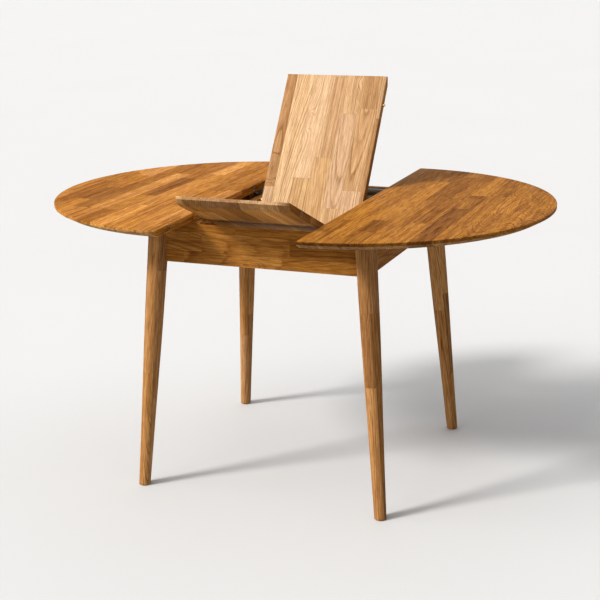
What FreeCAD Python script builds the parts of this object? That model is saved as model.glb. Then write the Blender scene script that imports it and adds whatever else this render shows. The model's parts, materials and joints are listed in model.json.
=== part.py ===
import FreeCAD, Part
import math
import os

from FreeCAD import Vector

os.makedirs("parts", exist_ok=True)

# Round dining table with a butterfly leaf. Millimetres.
# X runs along the extension, -Y is the front, +Z is up, and the floor is z = 0.
# The origin is on the floor under the middle of the table.
# The solids are written with both half tops pulled right out and the hinged leaf half raised, on
# its way up out of the frame.

# ---------------------------------------------------------------- driving dimensions
table_height = 750.0        # floor to top surface
top_radius = 500.0          # closed top is a circle of twice this
top_thickness = 20.0
leaf_width = 299.5          # along X, fills the 300 mm opening
pull_out = 36.25            # gap left on each side of the leaf when the halves are right out
clamp_gap = 0.4             # left between a half top and the leaf when pushed home

rim_band = 8.0              # upright part of the rim, below it the underside is bevelled
rim_bevel_in = 22.0         # how far the bevel runs in under the rim
rim_round = 1.5             # rounding of the top outer edge
joint_arris = 0.7           # small bevel on the top edge of each straight joint

apron_outer = 294.0         # outer face of every apron, from the table's middle
apron_thickness = 22.0
apron_height = 109.5
apron_gap = 0.5             # running gap between the aprons and the tops that slide over them

foot_offset = 337.7         # leg axis at the floor, in X and in Y
leg_lean = 0.07585          # inward lean in X and in Y, per millimetre of height
leg_foot_diameter = 31.0
leg_lower_diameter = 38.8
leg_lower_share = 0.30      # height of the lower diameter, as a share of the leg
leg_middle_diameter = 48.6
leg_middle_share = 0.62
leg_top_diameter = 55.0
leg_run_on = 0.03           # the turned side is drawn this share of the leg past both its ends
leg_run_on_taper = 0.8      # change of diameter over that share
leg_foot_chamfer = 2.0
leg_seat_gap = 0.15         # between a leg and the shaped ends of its aprons

# leaf linkage: the rear leaf turns on the pivot, the front leaf folds on the hinge line
pivot_back = 122.0          # pivot behind the table's middle
pivot_drop = 46.0           # pivot below the top surface
rear_tilt = 56.4            # rear leaf's slope when half raised
fold_angle = 80.0           # turn between the two leaves when half raised
swing_steps = 60            # steps in which the way from half raised to flat is searched
hinge_lift = 0.25           # hinge pin axis above the top surface
fold_gap = 0.2              # each leaf's end stands this far from the hinge line

notch_clearance = 1.5       # under the lowest reach of the front leaf
notch_side = 5.0            # notch floor beyond each side of the leaf
notch_slope = 9.0           # run of each slanted notch end

bearer_gap = 10.25          # from the leaf's side edge to a leaf bearer
bearer_thickness = 22.0
bearer_drop = 33.0          # bearer's top edge below the top surface
bearer_bottom_rise = 8.0    # bearer's bottom edge above the aprons' bottom edge
bearer_shoulder = 248.0     # where the tall part of a bearer ends, from the middle
bearer_tongue_drop = 10.0   # from the front slide down to the low ends of the bearers
housing_depth = 8.0         # bearer ends let into the aprons
housing_gap = 0.1

# twin-lane steel slide
slide_height = 45.0
slide_depth = 13.0
slide_sheet = 1.5
slide_lip = 3.5
slide_end_gap = 2.0         # from a slide's end to the legs
slide_screw_inset = 5.0     # from a slide's end to its screws
rear_slide_drop = 22.5      # slide's top edge below the top surface, at the rear
front_slide_clearance = 3.0  # front slide's top edge below the leaf's lowest reach
runner_gap = 0.5            # round a runner inside its lane
runner_length = 300.0
runner_stop_room = 10.0     # from a runner's outer end to the slide's end, halves right out
pad_length = 40.0
pad_gap = 0.7               # between a pad and the lips
pad_stand_off = 1.5         # pad's face in front of the slide
bracket_sheet = 2.0
bracket_inset = 2.0         # from a half top's joint edge to its brackets
bracket_length = 52.0
bracket_flange = 32.0
bracket_foot_below = 7.0    # bracket's lower edge below the middle of its lane

# alignment pins and sockets in the joint edges
pin_from_rim = 85.0         # outer pins, along the joint from the rim
pin_inner_y = 112.0         # inner pins, from the table's middle
pin_diameter = 8.0
pin_reach = 7.0             # how far a pin stands out of the edge
pin_root = 18.0             # how far it is set in
pin_nose = 2.5              # length of the tapered nose
pin_nose_diameter = 4.0
socket_outer = 12.0
socket_bore = 8.8
socket_length = 11.0
socket_depth = 9.0
set_gap = 0.05              # round anything set into a drilled hole

# leaf pivots
pivot_diameter = 8.0
pivot_running_gap = 0.05    # radial
pivot_head_diameter = 14.0
pivot_head_length = 3.0
pivot_in_bearer = 16.0      # how far a pivot goes into its bearer
ear_inset = 1.75            # from the leaf's side edge to a pivot ear
ear_thickness = 4.0
ear_side_gap = 0.3          # from an ear to the bolt head and to the collar
ear_radius = 11.0
plate_width = 30.0
plate_length = 64.0
plate_thickness = 3.0

# small brass hinges let into the two leaves
hinge_inset = 44.75         # from the leaf's side edge to the middle of a hinge
hinge_length = 40.0
hinge_knuckles = 5
knuckle_radius = 2.2
knuckle_gap = 0.3
flap_gap = 0.1              # from a flap to the groove its neighbour's knuckles turn in
hinge_pin_radius = 1.2
hinge_pin_gap = 0.05
hinge_plate_width = 16.0
hinge_plate_thickness = 1.5
hinge_relief = 0.4          # groove radius beyond the knuckle's

# corner blocks and leg bolts
block_side = 80.0
block_height = 34.0
block_bottom_rise = 4.0     # above the aprons' bottom edge
block_seat_gap = 0.1
bolt_diameter = 8.0
bolt_in_leg = 42.0
bolt_shares = (0.27, 0.73)  # heights of a leg's two bolts, as shares of the block's height
bolt_tail = 13.0            # stands out of the block, under washer and nut
washer_diameter = 20.0
washer_thickness = 1.6
nut_across_flats = 13.0
nut_height = 6.5

# screws
screw_diameter = 4.0
screw_head_diameter = 8.0
screw_head_height = 2.4
screw_length = 15.0
screw_slot_width = 1.0
screw_slot_depth = 1.0
small_screw_diameter = 2.6
small_screw_head_diameter = 5.0
small_screw_length = 11.0
bolt_end_gap = 0.2          # from a bracket bolt's end to the bottom of its hole

overrun = 1.0               # cutters and joined pieces run this far past the face they meet

# ---------------------------------------------------------------- worked-out levels and places
top_z = table_height
under_z = top_z - top_thickness
apron_top = under_z - apron_gap
apron_bottom = apron_top - apron_height
apron_inner = apron_outer - apron_thickness
mid_z = top_z - top_thickness / 2
half_leaf = leaf_width / 2
cut_x = half_leaf + pull_out
slide_travel = pull_out - clamp_gap
pivot_z = top_z - pivot_drop
hinge_z = top_z + hinge_lift
slide_face = apron_inner - slide_depth
pad_face = slide_face - pad_stand_off
bracket_face = pad_face - bracket_sheet
leg_top_axis = foot_offset - leg_lean * apron_top
slide_half_length = leg_top_axis - leg_top_diameter / 2 - slide_end_gap
runner_end = slide_half_length - runner_stop_room
bracket_inner = cut_x + bracket_inset
lane_height = (slide_height - 3 * slide_sheet) / 2
bearer_bottom = apron_bottom + bearer_bottom_rise
bearer_top = top_z - bearer_drop
block_bottom = apron_bottom + block_bottom_rise
bearer_inner = half_leaf + bearer_gap
pivot_end = bearer_inner + pivot_in_bearer
ear_outer = half_leaf - ear_inset
ear_inner = ear_outer - ear_thickness
hinge_offset = half_leaf - hinge_inset
pin_outer_y = top_radius - pin_from_rim
X_AXIS = Vector(1, 0, 0)
Z_AXIS = Vector(0, 0, 1)


# ---------------------------------------------------------------- shape helpers
def box(x0, x1, y0, y1, z0, z1):
    """Block between two corners, given in any order."""
    low = Vector(min(x0, x1), min(y0, y1), min(z0, z1))
    return Part.makeBox(abs(x1 - x0), abs(y1 - y0), abs(z1 - z0), low)


def rod(start, direction, length, diameter):
    """Round bar or drilled hole from a point along a direction."""
    return Part.makeCylinder(diameter / 2, length, start, direction)


def extrude_yz(points, x0, x1):
    """Outline in the YZ plane, pushed along X from x0 to x1."""
    corners = [Vector(x0, y, z) for y, z in points]
    face = Part.Face(Part.makePolygon(corners + corners[:1]))
    return face.extrude(Vector(x1 - x0, 0, 0))


def extrude_xy(points, z0, z1):
    """Outline in plan, pushed up from z0 to z1."""
    corners = [Vector(x, y, z0) for x, y in points]
    face = Part.Face(Part.makePolygon(corners + corners[:1]))
    return face.extrude(Vector(0, 0, z1 - z0))


def fuse(shapes):
    """One solid from several that touch or overlap."""
    joined = shapes[0].multiFuse(shapes[1:])
    return joined.removeSplitter()


def turned(shape, y, z, degrees):
    """Copy turned about an axis along X through (y, z)."""
    copy = shape.copy()
    copy.rotate(Vector(0, y, z), X_AXIS, degrees)
    return copy


def export(name, shape):
    shape.exportStep("parts/" + name + ".step")


def export_group(name, shapes):
    export(name, Part.makeCompound(shapes))


# ---------------------------------------------------------------- the leaf's motion
def turn_point(y, z, about_y, about_z, degrees):
    """Point turned about an axis along X, as (y, z)."""
    angle = math.radians(degrees)
    dy = y - about_y
    dz = z - about_z
    new_y = about_y + dy * math.cos(angle) - dz * math.sin(angle)
    new_z = about_z + dy * math.sin(angle) + dz * math.cos(angle)
    return new_y, new_z


def front_slope(swing):
    """Slope of the front leaf when the rear leaf is at this slope: the two keep one ratio."""
    return swing * (fold_angle - rear_tilt) / rear_tilt


def front_underside(y, swing):
    """Height of the front leaf's underside at y, with the rear leaf at the slope swing."""
    line_y, line_z = turn_point(0.0, hinge_z, pivot_back, pivot_z, swing)
    slope = math.radians(front_slope(swing))
    below_line = (top_thickness + hinge_lift) / math.cos(slope)
    return line_z + (line_y - y) * math.tan(slope) - below_line


def lowest_reach(y):
    """Lowest height of the front leaf's underside at y over the whole way to flat."""
    swings = [rear_tilt * step / swing_steps for step in range(swing_steps + 1)]
    return min(front_underside(y, swing) for swing in swings)


def rear_at_rest(shape):
    """Rear leaf piece, moved from lying flat to half raised."""
    return turned(shape, pivot_back, pivot_z, rear_tilt)


def front_at_rest(shape):
    """Front leaf piece, moved from lying flat to half raised."""
    return rear_at_rest(turned(shape, 0.0, hinge_z, -fold_angle))


# ---------------------------------------------------------------- fasteners
def pan_screw(head_seat, direction):
    """Slotted pan-head screw square to X, with its head's underside at head_seat."""
    shank = rod(head_seat, direction, screw_length, screw_diameter)
    head_start = head_seat - direction * screw_head_height
    head = rod(head_start, direction, screw_head_height, screw_head_diameter)
    across = direction.cross(X_AXIS)
    low = head_start - X_AXIS * screw_head_diameter - across * screw_slot_width / 2
    high = head_start + X_AXIS * screw_head_diameter + across * screw_slot_width / 2
    high = high + direction * screw_slot_depth
    slot = box(low.x, high.x, low.y, high.y, low.z, high.z)
    return shank.fuse(head).cut(slot)


def pan_screw_hole(head_seat, direction):
    return rod(head_seat, direction, screw_length + set_gap, screw_diameter + 2 * set_gap)


def flat_screw(seat, radius_gap=0.0):
    """Countersunk screw pointing down from a flat surface, or its hole when radius_gap is set."""
    cone_height = (small_screw_head_diameter - small_screw_diameter) / 2
    head_radius = small_screw_head_diameter / 2 + radius_gap
    shank_radius = small_screw_diameter / 2 + radius_gap
    cone = Part.makeCone(head_radius, shank_radius, cone_height, seat, -Z_AXIS)
    shank = Part.makeCylinder(shank_radius, small_screw_length + radius_gap, seat, -Z_AXIS)
    return cone.fuse(shank)


def edge_pin(x, y, outward):
    """Alignment pin with a tapered nose, set in an edge that faces outward (+1 or -1 in X)."""
    direction = Vector(outward, 0, 0)
    start = Vector(x - outward * pin_root, y, mid_z)
    straight = pin_root + pin_reach - pin_nose
    body = rod(start, direction, straight, pin_diameter)
    nose = Part.makeCone(pin_diameter / 2, pin_nose_diameter / 2, pin_nose,
                         start + direction * straight, direction)
    return body.fuse(nose)


def edge_pin_hole(x, y, outward):
    start = Vector(x - outward * (pin_root + set_gap), y, mid_z)
    return rod(start, Vector(outward, 0, 0), 2 * pin_root, pin_diameter + 2 * set_gap)


def edge_socket(x, y, outward):
    """Metal socket, flush with an edge that faces outward."""
    direction = Vector(outward, 0, 0)
    shell = rod(Vector(x - outward * socket_length, y, mid_z), direction, socket_length, socket_outer)
    bore = rod(Vector(x - outward * socket_depth, y, mid_z), direction, socket_depth, socket_bore)
    return shell.cut(bore)


def edge_socket_hole(x, y, outward):
    start = Vector(x - outward * (socket_length + set_gap), y, mid_z)
    return rod(start, Vector(outward, 0, 0), 2 * socket_length, socket_outer + 2 * set_gap)


# ---------------------------------------------------------------- legs, aprons and blocks
def leg_solid(side_x, side_y, extra=0.0):
    """Turned, tapered leg that leans out both ways. extra widens its radius."""
    slant = math.sqrt(1 + 2 * leg_lean ** 2)
    length = apron_top * slant
    stations = [(-leg_run_on, leg_foot_diameter - leg_run_on_taper),
                (0.0, leg_foot_diameter),
                (leg_lower_share, leg_lower_diameter),
                (leg_middle_share, leg_middle_diameter),
                (1.0, leg_top_diameter),
                (1.0 + leg_run_on, leg_top_diameter + leg_run_on_taper)]
    points = [Vector(diameter / 2 + extra, 0, share * length) for share, diameter in stations]
    side = Part.BSplineCurve()
    side.interpolate(points)
    top = Vector(0, 0, points[-1].z)
    bottom = Vector(0, 0, points[0].z)
    outline = Part.Wire([side.toShape(), Part.makeLine(points[-1], top),
                         Part.makeLine(top, bottom), Part.makeLine(bottom, points[0])])
    leg = Part.Face(outline).revolve(Vector(0, 0, 0), Z_AXIS, 360)
    lean = Vector(-side_x * leg_lean, -side_y * leg_lean, 1.0)
    foot = Vector(side_x * foot_offset, side_y * foot_offset, 0)
    leg.Placement = FreeCAD.Placement(foot, FreeCAD.Rotation(Z_AXIS, lean))
    reach = foot_offset + leg_foot_diameter
    return leg.common(box(0, side_x * reach, 0, side_y * reach, 0, apron_top))


def leg(side_x, side_y):
    solid = leg_solid(side_x, side_y)
    foot_edges = [edge for edge in solid.Edges if edge.BoundBox.ZMax < leg_foot_chamfer]
    solid = solid.makeChamfer(leg_foot_chamfer, foot_edges)
    return solid.cut(leg_bolt_holes(side_x, side_y))


def leg_axis_at(z):
    """Leg axis from the table's middle at a height, in X and in Y."""
    return foot_offset - leg_lean * z


def block_point(side_x, side_y, distance, z):
    """Point on the diagonal through a corner, at a distance from the table's middle."""
    across = distance / math.sqrt(2)
    return Vector(side_x * across, side_y * across, z)


def corner_block_face():
    """Distance of a corner block's long face from the table's middle, along the diagonal."""
    return (2 * apron_inner - block_side) / math.sqrt(2)


def bolt_heights():
    return [block_bottom + block_height * share for share in bolt_shares]


def leg_bolt(side_x, side_y, z, gap=0.0):
    """Hanger bolt from inside the leg out through the corner block."""
    inner_end = corner_block_face() - bolt_tail
    leg_face = leg_axis_at(z) * math.sqrt(2) - leg_top_diameter / 2
    start = block_point(side_x, side_y, inner_end, z)
    length = leg_face + bolt_in_leg - inner_end
    direction = Vector(side_x, side_y, 0).normalize()
    return rod(start, direction, length + gap, bolt_diameter + 2 * gap)


def leg_bolt_holes(side_x, side_y):
    return [leg_bolt(side_x, side_y, z, set_gap) for z in bolt_heights()]


def leg_washer(side_x, side_y, z):
    face = corner_block_face()
    direction = Vector(side_x, side_y, 0).normalize()
    start = block_point(side_x, side_y, face - washer_thickness, z)
    disc = rod(start, direction, washer_thickness, washer_diameter)
    return disc.cut(leg_bolt(side_x, side_y, z, set_gap))


def leg_nut(side_x, side_y, z):
    face = corner_block_face() - washer_thickness
    radius = nut_across_flats / math.sqrt(3)
    corners = []
    for step in range(6):
        angle = math.radians(60 * step)
        corners.append(Vector(radius * math.cos(angle), radius * math.sin(angle), 0))
    nut = Part.Face(Part.makePolygon(corners + corners[:1])).extrude(Vector(0, 0, nut_height))
    direction = Vector(side_x, side_y, 0)
    place = block_point(side_x, side_y, face - nut_height, z)
    nut.Placement = FreeCAD.Placement(place, FreeCAD.Rotation(Z_AXIS, direction))
    return nut.cut(leg_bolt(side_x, side_y, z, set_gap))


def corner_block(side_x, side_y):
    near = apron_inner - block_side
    outline = [(side_x * apron_inner, side_y * apron_inner), (side_x * near, side_y * apron_inner),
               (side_x * apron_inner, side_y * near)]
    block = extrude_xy(outline, block_bottom, block_bottom + block_height)
    block = block.cut(leg_solid(side_x, side_y, block_seat_gap))
    return block.cut(leg_bolt_holes(side_x, side_y))


def bearer_tongue_top():
    """Top of the low end of a bearer, which passes under the slides."""
    return slide_base(-1) - bearer_tongue_drop


def bearer_housings():
    """Shallow sockets in the front and rear aprons that hold the bearers' ends."""
    holes = []
    for side_x in (-1, 1):
        x0 = side_x * (bearer_inner - housing_gap)
        x1 = side_x * (bearer_inner + bearer_thickness + housing_gap)
        for side_y in (-1, 1):
            y0 = side_y * (apron_inner - overrun)
            y1 = side_y * (apron_inner + housing_depth + housing_gap)
            holes.append(box(x0, x1, y0, y1, bearer_bottom - housing_gap,
                             bearer_tongue_top() + housing_gap))
    return holes


def long_apron(side_y):
    """Front or rear apron, with its ends shaped to the round legs."""
    end_x = leg_top_axis
    apron = box(-end_x, end_x, side_y * apron_outer, side_y * apron_inner, apron_bottom, apron_top)
    cutters = [leg_solid(side_x, side_y, leg_seat_gap) for side_x in (-1, 1)]
    cutters += bearer_housings()
    for side_x in (-1, 1):
        cutters += leg_bolt_holes(side_x, side_y)
    cutters += [pan_screw_hole(seat, direction) for seat, direction in slide_screw_seats(side_y)]
    return apron.cut(cutters)


def side_apron(side_x):
    end_y = leg_top_axis
    apron = box(side_x * apron_outer, side_x * apron_inner, -end_y, end_y, apron_bottom, apron_top)
    cutters = []
    for side_y in (-1, 1):
        cutters.append(leg_solid(side_x, side_y, leg_seat_gap))
        cutters += leg_bolt_holes(side_x, side_y)
    return apron.cut(cutters)


def leaf_notch():
    """Shallow saddle in the front apron's top edge that lets the front leaf slide up over it."""
    floor_outer = lowest_reach(-apron_outer) - notch_clearance
    floor_inner = lowest_reach(-apron_inner) - notch_clearance
    rise = (floor_outer - floor_inner) / apron_thickness
    near = -apron_outer - overrun
    far = -apron_inner + overrun
    high = apron_top + overrun
    section = [(near, floor_outer + rise * overrun), (far, floor_inner - rise * overrun),
               (far, high), (near, high)]
    low = floor_inner - overrun
    flat_half = half_leaf + notch_side
    spread = notch_slope * overrun / (apron_top - floor_inner)
    low_half = flat_half - spread
    wide_half = flat_half + notch_slope + spread
    sides = [(-low_half, low), (low_half, low), (wide_half, high), (-wide_half, high)]
    corners = [Vector(x, near, z) for x, z in sides]
    ends = Part.Face(Part.makePolygon(corners + corners[:1])).extrude(Vector(0, far - near, 0))
    return extrude_yz(section, -wide_half, wide_half).common(ends)


# ---------------------------------------------------------------- bearers and leaf pivots
def bearer(side_x):
    """Rail along Y that carries one leaf pivot. Its ends pass low, under the slides."""
    end = apron_inner + housing_depth
    low = bearer_tongue_top()
    outline = [(-end, bearer_bottom), (end, bearer_bottom), (end, low), (bearer_shoulder, low),
               (bearer_shoulder, bearer_top), (-bearer_shoulder, bearer_top),
               (-bearer_shoulder, low), (-end, low)]
    rail = extrude_yz(outline, side_x * bearer_inner, side_x * (bearer_inner + bearer_thickness))
    return rail.cut(pivot_shank(side_x, set_gap))


def pivot_shank(side_x, gap=0.0):
    start = Vector(side_x * (ear_inner - ear_side_gap - pivot_head_length), pivot_back, pivot_z)
    length = pivot_end - ear_inner + ear_side_gap + pivot_head_length
    return rod(start, Vector(side_x, 0, 0), length + gap, pivot_diameter + 2 * gap)


def pivot_bolt(side_x):
    """Shouldered bolt: head inside the ear, collar against the bearer."""
    direction = Vector(side_x, 0, 0)
    head_start = Vector(side_x * (ear_inner - ear_side_gap - pivot_head_length), pivot_back, pivot_z)
    head = rod(head_start, direction, pivot_head_length, pivot_head_diameter)
    collar_start = Vector(side_x * (ear_outer + ear_side_gap), pivot_back, pivot_z)
    collar_length = bearer_inner - ear_outer - ear_side_gap
    collar = rod(collar_start, direction, collar_length, pivot_head_diameter)
    return fuse([pivot_shank(side_x), head, collar])


def pivot_plate_screw_seats(side_x):
    plate_middle = ear_outer - plate_width / 2 - ear_thickness / 2
    spread = plate_length / 2 - screw_head_diameter
    level = under_z - plate_thickness
    return [(Vector(side_x * plate_middle, pivot_back + spread * side, level), Z_AXIS)
            for side in (-1, 1)]


def pivot_ear(side_x):
    """Steel angle under the rear leaf: a screwed plate and a hanging ear with the pivot hole."""
    y0 = pivot_back - plate_length / 2
    y1 = pivot_back + plate_length / 2
    plate = box(side_x * (ear_outer - plate_width), side_x * ear_outer, y0, y1,
                under_z - plate_thickness, under_z)
    outline = [(y0, under_z), (y0, under_z - 2 * plate_thickness),
               (pivot_back - ear_radius, pivot_z), (pivot_back + ear_radius, pivot_z),
               (y1, under_z - 2 * plate_thickness), (y1, under_z)]
    web = extrude_yz(outline, side_x * ear_inner, side_x * ear_outer)
    start = Vector(side_x * ear_inner, pivot_back, pivot_z)
    direction = Vector(side_x, 0, 0)
    tip = rod(start, direction, ear_thickness, 2 * ear_radius)
    hole = rod(start - direction * overrun, direction, ear_thickness + 2 * overrun,
               pivot_diameter + 2 * pivot_running_gap)
    screws = [pan_screw_hole(seat - axis, axis) for seat, axis in pivot_plate_screw_seats(side_x)]
    return fuse([plate, web, tip]).cut([hole] + screws)


# ---------------------------------------------------------------- slides
def slide_base(side_y):
    """Bottom of a slide. The front pair hangs lower, out of the leaf's way."""
    if side_y > 0:
        return top_z - rear_slide_drop - slide_height
    return lowest_reach(-bracket_face) - front_slide_clearance - slide_height


def lane_bottom(side_x, side_y):
    """Floor of a lane: the right half runs in the lower one, the left half in the upper one."""
    lane = 0 if side_x > 0 else 1
    return slide_base(side_y) + slide_sheet + lane * (lane_height + slide_sheet)


def slide_channel(side_y):
    """Fixed steel channel with two lanes, one above the other."""
    base = slide_base(side_y)
    back = side_y * apron_inner
    front = side_y * slide_face
    inside = side_y * (apron_inner - slide_sheet)
    behind_lip = side_y * (slide_face + slide_sheet)
    channel = box(-slide_half_length, slide_half_length, back, front, base, base + slide_height)
    end = slide_half_length + overrun
    out = front - side_y * overrun
    cutters = []
    for side_x in (-1, 1):
        floor = lane_bottom(side_x, side_y)
        roof = floor + lane_height
        cutters.append(box(-end, end, inside, behind_lip, floor, roof))
        cutters.append(box(-end, end, inside, out, floor + slide_lip, roof - slide_lip))
    cutters += [pan_screw_hole(seat - axis * screw_length / 2, axis)
                for seat, axis in slide_screw_seats(side_y)]
    return channel.cut(cutters)


def slide_screw_seats(side_y):
    """Channel screws, near each end and in both lanes, clear of the runners."""
    inside = side_y * (apron_inner - slide_sheet)
    end = slide_half_length - slide_screw_inset
    seats = []
    for x in (-end, end):
        for side_x in (-1, 1):
            z = lane_bottom(side_x, side_y) + lane_height / 2
            seats.append((Vector(x, inside, z), Vector(0, side_y, 0)))
    return seats


def pad_x(side_x):
    """Near and far end of the pad that a bracket is screwed to."""
    middle = bracket_inner + bracket_length / 2
    return side_x * (middle - pad_length / 2), side_x * (middle + pad_length / 2)


def runner_screw_seats(side_x, side_y):
    z = lane_bottom(side_x, side_y) + lane_height / 2
    middle = bracket_inner + bracket_length / 2
    return [(Vector(side_x * (middle + offset), side_y * bracket_face, z), Vector(0, side_y, 0))
            for offset in (-pad_length / 4, pad_length / 4)]


def runner(side_x, side_y):
    """Bar that runs in a lane, with a pad that comes out between the lips."""
    floor = lane_bottom(side_x, side_y)
    bar = box(side_x * (runner_end - runner_length), side_x * runner_end,
              side_y * (apron_inner - slide_sheet - runner_gap),
              side_y * (slide_face + slide_sheet + runner_gap),
              floor + runner_gap, floor + lane_height - runner_gap)
    pad_low = floor + slide_lip + pad_gap
    pad_high = floor + lane_height - slide_lip - pad_gap
    x0, x1 = pad_x(side_x)
    root = side_y * (slide_face + slide_sheet + runner_gap + overrun)
    pad = box(x0, x1, root, side_y * pad_face, pad_low, pad_high)
    holes = []
    for seat, axis in runner_screw_seats(side_x, side_y):
        holes.append(rod(seat, axis, bolt_length(), screw_diameter + 2 * set_gap))
    return fuse([bar, pad]).cut(holes)


def bolt_length():
    """Bracket bolts stop just short of the runner's back."""
    return slide_depth + pad_stand_off + bracket_sheet - slide_sheet - 2 * runner_gap


def bracket_flange_seats(side_x, side_y):
    level = under_z - bracket_sheet
    y = side_y * (bracket_face - bracket_flange / 2)
    middle = bracket_inner + bracket_length / 2
    spread = bracket_length / 2 - screw_head_diameter
    return [(Vector(side_x * (middle + offset), y, level), Z_AXIS) for offset in (-spread, spread)]


def top_bracket(side_x, side_y):
    """Steel angle from a runner's pad up to the underside of a half top."""
    lane_middle = lane_bottom(side_x, side_y) + lane_height / 2
    x0 = side_x * bracket_inner
    x1 = side_x * (bracket_inner + bracket_length)
    upright = box(x0, x1, side_y * pad_face, side_y * bracket_face,
                  lane_middle - bracket_foot_below, under_z)
    flange = box(x0, x1, side_y * pad_face, side_y * (bracket_face - bracket_flange),
                 under_z - bracket_sheet, under_z)
    holes = [pan_screw_hole(seat - axis, axis) for seat, axis in bracket_flange_seats(side_x, side_y)]
    holes += [pan_screw_hole(seat - axis, axis) for seat, axis in runner_screw_seats(side_x, side_y)]
    return fuse([upright, flange]).cut(holes)


def bracket_bolt(seat, axis):
    """Short machine screw from a bracket into a runner."""
    shank = rod(seat, axis, bolt_length() - bolt_end_gap, screw_diameter)
    head = rod(seat - axis * screw_head_height, axis, screw_head_height, screw_head_diameter)
    return shank.fuse(head)


# ---------------------------------------------------------------- half tops
def rim_outline(inner):
    """Section of a top from a distance inner out to the rim: flat top, band, bevel below."""
    rim = top_radius
    low = top_z - rim_band
    return [Vector(inner, 0, under_z), Vector(rim - rim_bevel_in, 0, under_z), Vector(rim, 0, low),
            Vector(rim, 0, top_z - rim_round), Vector(rim - rim_round, 0, top_z),
            Vector(inner, 0, top_z)]


def rim_face(inner):
    """Face of that section, with the top outer edge rounded."""
    points = rim_outline(inner)
    middle = rim_round * (1 - math.sqrt(0.5))
    arc = Part.Arc(points[3], Vector(top_radius - middle, 0, top_z - middle), points[4])
    edges = [Part.makeLine(points[index], points[index + 1]) for index in (0, 1, 2)]
    edges.append(arc.toShape())
    edges.append(Part.makeLine(points[4], points[5]))
    edges.append(Part.makeLine(points[5], points[0]))
    return Part.Face(Part.Wire(edges))


def joint_bevel(x, outward, reach):
    """Thin wedge that takes the sharp corner off a straight joint's top edge."""
    corners = [Vector(x + outward * overrun, -reach, top_z + overrun),
               Vector(x + outward * overrun, -reach, top_z - joint_arris - overrun),
               Vector(x - outward * (joint_arris + overrun), -reach, top_z + overrun)]
    face = Part.Face(Part.makePolygon(corners + corners[:1]))
    return face.extrude(Vector(0, 2 * reach, 0))


def half_pins(side_x):
    """(x, y, facing) of the pins in a half top's joint edge."""
    return [(side_x * cut_x, -side_x * pin_outer_y, -side_x)]


def half_sockets(side_x):
    """(x, y, facing) of the sockets in a half top's joint edge."""
    return [(side_x * cut_x, side_x * pin_outer_y, -side_x), (side_x * cut_x, pin_inner_y, -side_x)]


def half_top(side_x):
    """Half disc of the top, from the joint edge out to the rim."""
    disc = rim_face(0).revolve(Vector(0, 0, 0), Z_AXIS, 360)
    disc.translate(Vector(side_x * cut_x, 0, 0))
    reach = top_radius + overrun
    side = box(side_x * cut_x, side_x * (cut_x + reach), -reach, reach, 0, top_z + overrun)
    cutters = [joint_bevel(side_x * cut_x, -side_x, reach)]
    cutters += [edge_pin_hole(*place) for place in half_pins(side_x)]
    cutters += [edge_socket_hole(*place) for place in half_sockets(side_x)]
    for side_y in (-1, 1):
        seats = bracket_flange_seats(side_x, side_y)
        cutters += [pan_screw_hole(seat, axis) for seat, axis in seats]
    return disc.common(side).cut(cutters)


# ---------------------------------------------------------------- the two leaves, lying flat
def leaf_panel(side_y):
    """One leaf with a square end at the hinge line and the rim's section at its outer end."""
    section = rim_face(fold_gap)
    section.rotate(Vector(0, 0, 0), Z_AXIS, 90 * side_y)
    section.translate(Vector(-half_leaf, 0, 0))
    panel = section.extrude(Vector(leaf_width, 0, 0))
    reach = top_radius + overrun
    return panel.cut([joint_bevel(side * half_leaf, side, reach) for side in (-1, 1)])


def hinge_x_ranges(own_side):
    """X ranges of the knuckles on one side of a hinge, from its middle."""
    pitch = hinge_length / hinge_knuckles
    first = 0 if own_side > 0 else 1
    ranges = []
    for index in range(first, hinge_knuckles, 2):
        start = -hinge_length / 2 + index * pitch
        ranges.append((start + knuckle_gap / 2, start + pitch - knuckle_gap / 2))
    return ranges


def hinge_half(middle_x, side_y):
    """Flap and knuckles of one side of a hinge."""
    inner = knuckle_radius + hinge_relief + flap_gap
    level = top_z - hinge_plate_thickness
    flap = box(middle_x - hinge_length / 2, middle_x + hinge_length / 2, side_y * inner,
               side_y * hinge_plate_width, level, top_z)
    pieces = [flap]
    for x0, x1 in hinge_x_ranges(side_y):
        start = Vector(middle_x + x0, 0, hinge_z)
        pieces.append(Part.makeCylinder(knuckle_radius, x1 - x0, start, X_AXIS))
        root = side_y * (inner + overrun)
        pieces.append(box(middle_x + x0, middle_x + x1, 0, root, level, top_z))
    bore_radius = hinge_pin_radius + hinge_pin_gap
    start = Vector(middle_x - hinge_length, 0, hinge_z)
    bore = Part.makeCylinder(bore_radius, 2 * hinge_length, start, X_AXIS)
    holes = [flat_screw(seat, set_gap) for seat in hinge_screw_seats(middle_x, side_y)]
    return fuse(pieces).cut([bore] + holes)


def hinge_screw_seats(middle_x, side_y):
    y = side_y * (hinge_plate_width + knuckle_radius) / 2
    return [Vector(middle_x + offset, y, top_z) for offset in (-hinge_length / 3, hinge_length / 3)]


def hinge_pin(middle_x):
    start = Vector(middle_x - hinge_length / 2, 0, hinge_z)
    return Part.makeCylinder(hinge_pin_radius, hinge_length, start, X_AXIS)


def hinge_pocket(middle_x, side_y):
    """Recess for a flap and groove for the knuckles."""
    x0 = middle_x - hinge_length / 2 - set_gap
    x1 = middle_x + hinge_length / 2 + set_gap
    far = side_y * (hinge_plate_width + set_gap)
    recess = box(x0, x1, 0, far, top_z - hinge_plate_thickness, top_z + overrun)
    groove = Part.makeCylinder(knuckle_radius + hinge_relief, x1 - x0, Vector(x0, 0, hinge_z), X_AXIS)
    screws = [flat_screw(seat, set_gap) for seat in hinge_screw_seats(middle_x, side_y)]
    return [recess, groove] + screws


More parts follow.
